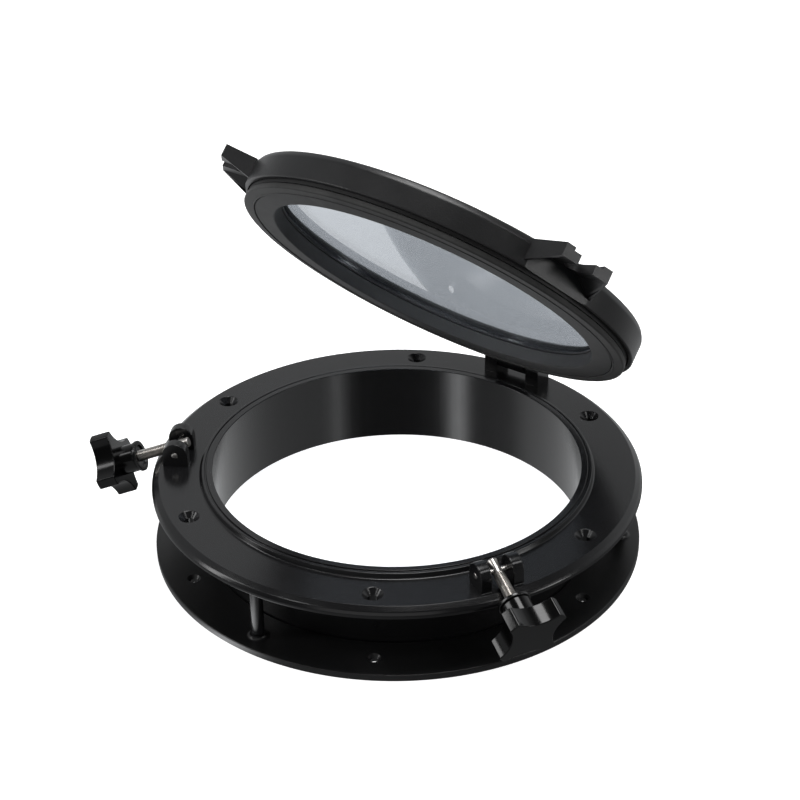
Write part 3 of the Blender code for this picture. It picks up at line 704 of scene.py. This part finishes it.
def lid_frame():
    pockets, seats, forks = [], [], []
    # (tangential, up) outline extruded outward
    outward = Matrix(((0, 0, 1, 0), (1, 0, 0, 0), (0, 1, 0, 0), (0, 0, 0, 1)))
    seat = open_slot(LATCH_RHO, SEAT_HALF + 0.04, 124, 36)
    for angle in LATCH.values():
        # flat face cut in the lid's wall under the fork
        pocket = prism(mirrored(POCKET_HALF), 113.0, 115.6, outward)
        pocket.transform(station(angle))
        pockets.append(pocket)
        # the washer's recess carried into the rim, just clear of the fork's own
        seats.append(prism(seat, SEAT_Z - 0.03, CUT_TOP, station(angle)))
        fork = fork_block()
        fork.transform(station(angle))
        forks.append(fork)
    knuckle = ([(HINGE_Y + 1.2, HINGE_Z - KNUCKLE_R + 0.12)]
               + arc(HINGE_Y, HINGE_Z, KNUCKLE_R, -75, 90, 28)
               + [(112.9, HINGE_Z + KNUCKLE_R), (112.9, 10.2),
                  (HINGE_Y - 1.5, HINGE_Z - KNUCKLE_R + 0.1)])
    knuckle = prism(knuckle, -KNUCKLE_HALF, KNUCKLE_HALF, side_on(90), round_by=0.35)
    return combine(lathe(fillet(LID_CORNERS), BIG), ('DIFFERENCE', stack(pockets)),
                   ('DIFFERENCE', stack(seats)), ('UNION', stack(forks)), ('UNION', knuckle),
                   ('DIFFERENCE', cylinder(HINGE_HOLE_R, -15.0, 15.0, HINGE_AXES, 32)))


piece("lid_frame", lid_frame(), MAT["lid"], "lid", LID)

# ---- rings and pane in the lid ---------------------------------------------
INNER_RING = [                                  # r, z, fillet
    (98.6, 20.6, 0.2), (111.6, 20.6, 0.6), (111.6, 12.6, 0.1), (105.2, 12.6, 0.1),
    (105.2, LID_UNDER_Z, 0.30), (93.75, LID_UNDER_Z, 0.75), (92.8, 16.3, 0.2), (98.6, 16.3, 0.1)]
GASKET = [
    (105.6, 12.2, 0.1), (112.0, 12.2, 0.5), (112.0, 9.0, 0.9), (106.55, LID_UNDER_Z, 0.15),
    (106.25, 8.4, 0.20), (105.75, 8.4, 0.2), (105.6, 8.9, 0.1)]
SEAL_LOWER = [(92.4, 17.9, 0.25), (98.0, 17.9, 0.1), (98.0, 16.6, 0.1), (92.4, 16.6, 0.35)]
SEAL_UPPER = [(93.0, 27.3, 0.3), (97.8, 27.3, 0.1), (97.8, 26.5, 0.1), (93.0, 26.5, 0.2)]
PANE_HALF = [(0.0, 0.0), (30.0, 0.0), (70.0, 0.0), (GLASS_R - 0.8, 0.0),   # r, depth in
             (GLASS_R - 0.45, 0.06), (GLASS_R - 0.06, 0.45), (GLASS_R, 0.8)]


def lid_ring(frame_node, corners, mat):
    piece(frame_node, lathe(fillet(corners), BIG), MAT[mat], "lid", LID)


lid_ring("lid_inner_ring", INNER_RING, "ring")
lid_ring("lid_gasket", GASKET, "gasket")
pane = ([(r, GLASS_Z1 - depth) for r, depth in PANE_HALF]
        + [(r, GLASS_Z0 + depth) for r, depth in reversed(PANE_HALF)])
piece("glass_pane", lathe(pane, BIG), MAT["pane"], "lid", LID)
lid_ring("glazing_seal_lower", SEAL_LOWER, "seal")
lid_ring("glazing_seal_upper", SEAL_UPPER, "seal")


# ---- pins ------------------------------------------------------------------
def pin(name, half_profile, axes, rough):
    """A pin alike at both ends; half_profile is (r, z) from the tip to the middle."""
    profile = half_profile + [(r, -z) for r, z in reversed(half_profile)]
    steel = metal(name + "_steel", base=STEEL_RGB, rough=rough, axes=axes)
    piece(name, lathe(profile, 40, axes), steel, "root")


end = LUG_OUT + 0.2
pin("hinge_pin", [(0, end), (HINGE_PIN_R - 0.45, end), (HINGE_PIN_R - 0.15, end - 0.12),
                  (HINGE_PIN_R, end - 0.4)], HINGE_AXES, rough=0.22)
end = EAR_OUT + 0.3
RIVETED = [(0, end), (RIVET_R - 0.8, end - 0.02), (RIVET_R - 0.35, end - 0.10),
           (RIVET_R - 0.1, end - 0.28), (RIVET_R, end - 0.6), (RIVET_R, 11.1),
           (LATCH_PIN_R, 11.1)]
for side, angle in LATCH.items():
    pin("latch_pin_" + side, RIVETED, side_on(angle, LATCH_RHO, LATCH_Z), rough=0.24)

# ---- swing bolts: a plain cross-drilled end and a rolled thread ------------
CREST_R, THREAD_DEPTH, PITCH = BOLT_R + 0.03, 0.60, 1.0
BOLT_STEPS, ROWS_PER_TURN = 40, 10


def bolt_radius(z, turn):
    """Radius at height z and a fraction of a turn about the axis."""
    tail = min(1.0, (z + BOLT_TAIL) / 0.9)              # rounded end below the pin
    plain = PLAIN_R - 0.85 * (1.0 - math.sqrt(max(0.0, 1.0 - (1.0 - tail) ** 2)))
    grow = max(0.0, min(1.0, (z - PLAIN_END + 0.2) / 0.9))
    cap = CREST_R - max(0.0, 0.9 - (BOLT_LEN - z)) * 0.75   # chamfer at the far end
    ridge = abs(2 * ((z / PITCH - turn) % 1.0) - 1.0)   # 1 at the crest, 0 in the root
    ridge = min(1.0, max(0.0, (ridge - 0.12) / 0.74))
    thread = min(cap, CREST_R - THREAD_DEPTH * (1.0 - ridge))
    return plain * (1.0 - grow) + thread * grow


def swing_bolt():
    length = BOLT_LEN + BOLT_TAIL
    rows = int(round(length / PITCH * ROWS_PER_TURN))
    verts, faces = [], []
    for i in range(rows + 1):
        z = -BOLT_TAIL + length * i / rows
        for k in range(BOLT_STEPS):
            a = 2 * math.pi * k / BOLT_STEPS
            r = bolt_radius(z, k / BOLT_STEPS)
            verts.append(Vector((r * math.cos(a), r * math.sin(a), z)) * MM)
    for low in range(0, rows * BOLT_STEPS, BOLT_STEPS):
        high = low + BOLT_STEPS
        for k in range(BOLT_STEPS):
            j = (k + 1) % BOLT_STEPS
            faces.append((low + k, low + j, high + j, high + k))
    faces.append(tuple(range(BOLT_STEPS))[::-1])
    faces.append(tuple(rows * BOLT_STEPS + k for k in range(BOLT_STEPS)))
    return combine(mesh_from(verts, faces),
                   ('DIFFERENCE', cylinder(1.75, -5, 5, rot(90, 'X'))))


for side in LATCH:
    axes = bolt_axes(side)
    steel = metal("bolt_steel_" + side, base=BOLT_RGB, rough=0.28, axes=axes)
    piece("swing_bolt_" + side, swing_bolt(), steel, "latch_" + side, axes, sharp=30)

# ---- knobs, z along the bolt from the washer's seat ------------------------
WASHER = [(3.45, WASHER_T, 0.2), (WASHER_R, WASHER_T, 0.45), (WASHER_R, 0.0, 0.40),   # r, z, fillet
          (6.2, 0.0, 0.2), (5.6, 0.9, 0.2), (3.45, 0.9, 0.1)]
INSERT = [(3.45, 14.0, 0.2), (5.0, 14.0, 0.25), (5.0, 9.5, 0.15), (4.6, 9.2, 0.1),
          (4.6, 7.6, 0.1), (5.0, 7.3, 0.15), (5.0, 2.6, 0.25), (3.45, 2.6, 0.25)]
COLLAR = [(0, WASHER_T + 0.3), (COLLAR_R - 0.5, WASHER_T + 0.3),                      # r, z
          (COLLAR_R - 0.12, WASHER_T + 0.45), (COLLAR_R, WASHER_T + 0.85),
          (COLLAR_R, COLLAR_END + 4.0), (0, COLLAR_END + 4.0)]


def star_outline():
    """Four lobes with rounded tips, joined by concave arcs."""
    half, hollow = 3.0, 21.2                    # half lobe width; arc centre in x and y
    corner_r, corner_sweep = 1.15, 78
    edge_x, edge_y = STAR_R - 1.17, half + 0.2
    lower = []
    for k in range(7):
        a = math.radians(-corner_sweep + corner_sweep * k / 6 * 0.96)
        lower.append((edge_x - 0.15 + corner_r * math.cos(a),
                      -half + 0.95 + corner_r * math.sin(a)))
    quarter = lower + [(STAR_R, 0.0)] + [(x, -y) for x, y in reversed(lower)]
    spoke = Vector((edge_x - hollow, edge_y - hollow))
    start = math.degrees(math.atan2(spoke.y, spoke.x)) % 360
    quarter += arc(hollow, hollow, spoke.length, start, 450 - start, 26)[1:-1]
    outline = []
    for k in range(4):
        c, s = math.cos(k * math.pi / 2), math.sin(k * math.pi / 2)
        outline += [(x * c - y * s, x * s + y * c) for x, y in quarter]
    return outline


def knob():
    star = prism(star_outline(), COLLAR_END, COLLAR_END + STAR_T, round_by=0.50)
    return combine(star, ('UNION', lathe(COLLAR, 72)),
                   ('DIFFERENCE', cylinder(5.3, 0.0, 14.4, steps=56)),
                   ('DIFFERENCE', cylinder(3.5, 13.0, 19.6)))


for side in LATCH:
    axes = knob_axes(side)
    piece("knob_" + side, knob(), MAT["knob"], "knob_body_" + side,
          axes @ rot(STAR_TURN[side], 'Z'))
    piece("knob_washer_" + side, lathe(fillet(WASHER, seg=5), 72, axes), MAT["washer"],
          "carriage_" + side)
    piece("knob_insert_" + side, lathe(fillet(INSERT, seg=4), 56, axes), MAT["brass"],
          "knob_body_" + side)

# ---- render settings -------------------------------------------------------
SCENE.view_settings.view_transform = 'Standard'
SCENE.view_settings.look = 'None'
SCENE.view_settings.exposure = 0.0
SCENE.view_settings.gamma = 1.0
SCENE.cycles.max_bounces = 12
SCENE.cycles.transmission_bounces = 10
SCENE.cycles.glossy_bounces = 6
SCENE.cycles.diffuse_bounces = 3
SCENE.cycles.sample_clamp_indirect = 8.0

# ---- world -----------------------------------------------------------------
WHITE, COOL = (1.0, 1.0, 1.0), (0.97, 0.985, 1.0)


def studio_world():
    """White to the eye; to other rays a pale backdrop beyond the hatch, else dark."""
    world = bpy.data.worlds.new("studio")
    SCENE.world = world
    world.use_nodes = True
    tree = world.node_tree
    tree.nodes.clear()
    co = node(tree, "ShaderNodeTexCoord").outputs["Generated"]
    turned = node(tree, "ShaderNodeMapping", {"Vector": co, "Rotation": (0, 0, math.radians(-AZ))})
    x, y, z = separate(tree, turned.outputs[0])              # right, away, up in the view
    back = smooth(tree, y, start=-0.35, end=0.35)
    rightward = smooth(tree, x, start=-0.75, end=0.55)
    low = smooth(tree, z, start=0.86, end=0.62)              # the backdrop ends overhead
    # dimmer above the horizon on the right, and again further right
    shade = mul(tree, smooth(tree, z, start=0.505, end=0.58),
                smooth(tree, x, start=-0.05, end=0.04))
    far_right = smooth(tree, x, start=0.085, end=0.12)
    level = mul(tree, back, low, add(tree, 0.34, mul(tree, rightward, 0.42)),
                sub(tree, 1.0, mul(tree, shade, 0.48)),
                sub(tree, 1.0, mul(tree, far_right, 0.25)))
    level = add(tree, level, 0.04)                           # the dark room's own level
    rays = node(tree, "ShaderNodeLightPath")
    direct = calc(tree, 'MAXIMUM', rays.outputs["Is Camera Ray"], straight_view(tree, rays))
    strength = add(tree, mul(tree, direct, 1.0), mul(tree, sub(tree, 1.0, direct), level))
    background = node(tree, "ShaderNodeBackground", {
        "Color": mix_colour(tree, direct, rgb(COOL), rgb(WHITE)), "Strength": strength})
    node(tree, "ShaderNodeOutputWorld", {"Surface": background.outputs[0]})


studio_world()

# ---- lights ----------------------------------------------------------------
# name, place and aim as (right, away, up) in metres in the view, size in metres, watts
LIGHTS = (
    ("overhead", (0.10, 0.05, 1.14), (0, 0, 0), (0.70, 0.50), 9.0),
    ("box_left", (-0.72, -0.52, 0.98), (0, 0, 0.02), (0.20, 0.20), 0.8),
    ("box_right", (0.72, -0.52, 0.98), (0, 0, 0.02), (0.20, 0.20), 0.8),
    ("strip_left", (-1.15, -0.15, 0.55), (0, 0, 0.02), (0.20, 0.8), 3.0),
    ("panel_right", (1.12, -0.54, 0.22), (0, 0, 0.06), (0.34, 0.34), 1.9),
    ("front_fill", (-0.20, -1.20, 0.60), (0, 0, 0.0), (1.20, 0.60), 1.2),
)
VIEW_TURN = rot(AZ, 'Z')
for name, place, aim, size, watts in LIGHTS:
    light = bpy.data.lights.new(name, 'AREA')
    light.shape = 'RECTANGLE'
    light.size, light.size_y = size
    light.energy = watts
    light.spread = math.radians(180)
    lamp = work_object(name, light)
    start, target = VIEW_TURN @ Vector(place), VIEW_TURN @ Vector(aim)
    start.z += LIFT * MM
    target.z += LIFT * MM
    lamp.location = start
    lamp.rotation_euler = (target - start).to_track_quat('-Z', 'Y').to_euler()
    lamp.visible_camera = False

# ---- floor: near white to the eye, greyer in reflections with painted shade and painted highlights ---
# Levels mirrored in the bore, by bearing in degrees: a painted shadow of the hatch on the floor,
# with painted bright streaks
BORE_PAINTED_BASE = 0.09
BORE_PAINTED_STEPS = ((138.0, 150.0, 0.46), (165.0, 195.0, 0.30),   # start, end, rise
              (101.0, 94.0, 0.25), (88.0, 78.0, 0.50))
BORE_PAINTED_GLEAMS = ((105.5, 2.8, 4.2), (145.5, 2.0, 1.3))        # centre, width, height


def emission(tree, colour, strength):
    return node(tree, "ShaderNodeEmission", {"Color": rgb(colour),
                                             "Strength": strength}).outputs[0]


def painted_bore_floor_level(tree, incoming):
    """Painted floor brightness inside the bore, by where on its wall the ray was mirrored: a
    painted shadow of the hatch, lifted by painted bright streaks.
    """
    heading = calc(tree, 'DEGREES', calc(tree, 'ARCTAN2', mul(tree, incoming[1], -1.0),
                                         mul(tree, incoming[0], -1.0)))
    wrap = calc(tree, 'LESS_THAN', heading, 90.0 + 2 * AZ - 48.4)
    heading = add(tree, heading, mul(tree, wrap, 360.0))
    bearing = mul(tree, sub(tree, heading, 90.0 - AZ), 0.5)
    return add(tree, BORE_PAINTED_BASE,
               *(mul(tree, smooth(tree, bearing, start, end), rise)
                 for start, end, rise in BORE_PAINTED_STEPS),
               *(mul(tree, hump(tree, bearing, centre, width), height)
                 for centre, width, height in BORE_PAINTED_GLEAMS))


def painted_outer_floor_level(tree, x, y, ray_length):
    """Painted floor brightness outside: darker near the hatch as its painted shadow, more beyond
    and to the left, and one near painted bright spot.
    """
    c, s = math.cos(math.radians(AZ)), math.sin(math.radians(AZ))
    across = add(tree, mul(tree, x, c), mul(tree, y, s))
    away = sub(tree, mul(tree, y, c), mul(tree, x, s))
    # painted bright spot on the floor, seen only in reflections from close by
    spot = mul(tree, hump(tree, across, centre=-0.094, width=0.016),
               hump(tree, away, centre=-0.112, width=0.030),
               calc(tree, 'LESS_THAN', ray_length, 0.12))
    return add(tree, 0.16, mul(tree, smooth(tree, across, start=0.10, end=-0.15), 0.20),
               mul(tree, smooth(tree, away, start=0.02, end=0.16), 0.40),
               mul(tree, spot, 3.5))


def floor_paper():
    mat = bpy.data.materials.new("floor_paper")
    mat.use_nodes = True
    tree = mat.node_tree
    tree.nodes.clear()
    rays = node(tree, "ShaderNodeLightPath")
    incoming = separate(tree, node(tree, "ShaderNodeNewGeometry").outputs["Incoming"])
    # seen through the pane, unless from steeply above
    through = mul(tree, straight_view(tree, rays),
                  smooth(tree, incoming[2], start=0.63, end=0.58))
    x, y, _ = separate(tree, object_coords(tree))
    radius = calc(tree, 'SQRT', add(tree, mul(tree, x, x), mul(tree, y, y)))
    outside = smooth(tree, radius, start=0.101, end=0.108)
    inside = mul(tree, painted_bore_floor_level(tree, incoming), sub(tree, 1.0, outside))
    level = add(tree, inside, mul(tree, painted_outer_floor_level(tree, x, y, rays.outputs["Ray Length"]),
                                  outside))
    reflected = node(tree, "ShaderNodeMixShader", {
        0: through, 1: emission(tree, COOL, level), 2: emission(tree, WHITE, 1.0)})
    paper = node(tree, "ShaderNodeBsdfDiffuse", {"Color": rgb((0.80, 0.80, 0.80))})
    lit = node(tree, "ShaderNodeAddShader", {0: paper.outputs[0], 1: emission(tree, WHITE, 0.90)})
    surface = node(tree, "ShaderNodeMixShader", {
        0: rays.outputs["Is Camera Ray"], 1: reflected.outputs[0], 2: lit.outputs[0]})
    node(tree, "ShaderNodeOutputMaterial", {"Surface": surface.outputs[0]})
    return mat


grid = bmesh.new()
bmesh.ops.create_grid(grid, x_segments=4, y_segments=4, size=4.0)
floor = work_object("floor", to_mesh(grid, "floor"))
floor.location = (0, 0, -0.05 * MM)
floor.data.materials.append(floor_paper())

# ---- camera ----------------------------------------------------------------
DISTANCE, ELEVATION, TARGET_Z = 1.0760057, 0.56646, 2.7     # metres, radians, mm
YAW, PITCH_UP, ROLL = 0.0020871, 0.0351547, -0.0143716      # radians off the target
LENS, SENSOR = 87.495651, 36.0                              # mm


def swing(first, second, angle):
    """Turn two perpendicular axes in their plane, first towards second."""
    c, s = math.cos(angle), math.sin(angle)
    return first * c + second * s, second * c - first * s


offset = Vector((0, -math.cos(ELEVATION), math.sin(ELEVATION))) * DISTANCE
forward = -offset.normalized()
right = Vector((1, 0, 0))
up = right.cross(forward)
forward, right = swing(forward, right, YAW)
forward, up = swing(forward, up, PITCH_UP)
right, up = swing(right, up, ROLL)
camera_data = bpy.data.cameras.new("camera")
camera_data.sensor_width = SENSOR
camera_data.lens = LENS
camera_data.clip_start, camera_data.clip_end = 0.05, 50.0
camera = work_object("camera", camera_data)
view_axes = Matrix((right, up, -forward)).transposed().to_4x4()
camera.matrix_world = (Matrix.Translation((0, 0, (TARGET_Z + LIFT) * MM)) @ VIEW_TURN
                       @ Matrix.Translation(offset) @ view_axes)
SCENE.camera = camera

bpy.context.view_layer.update()
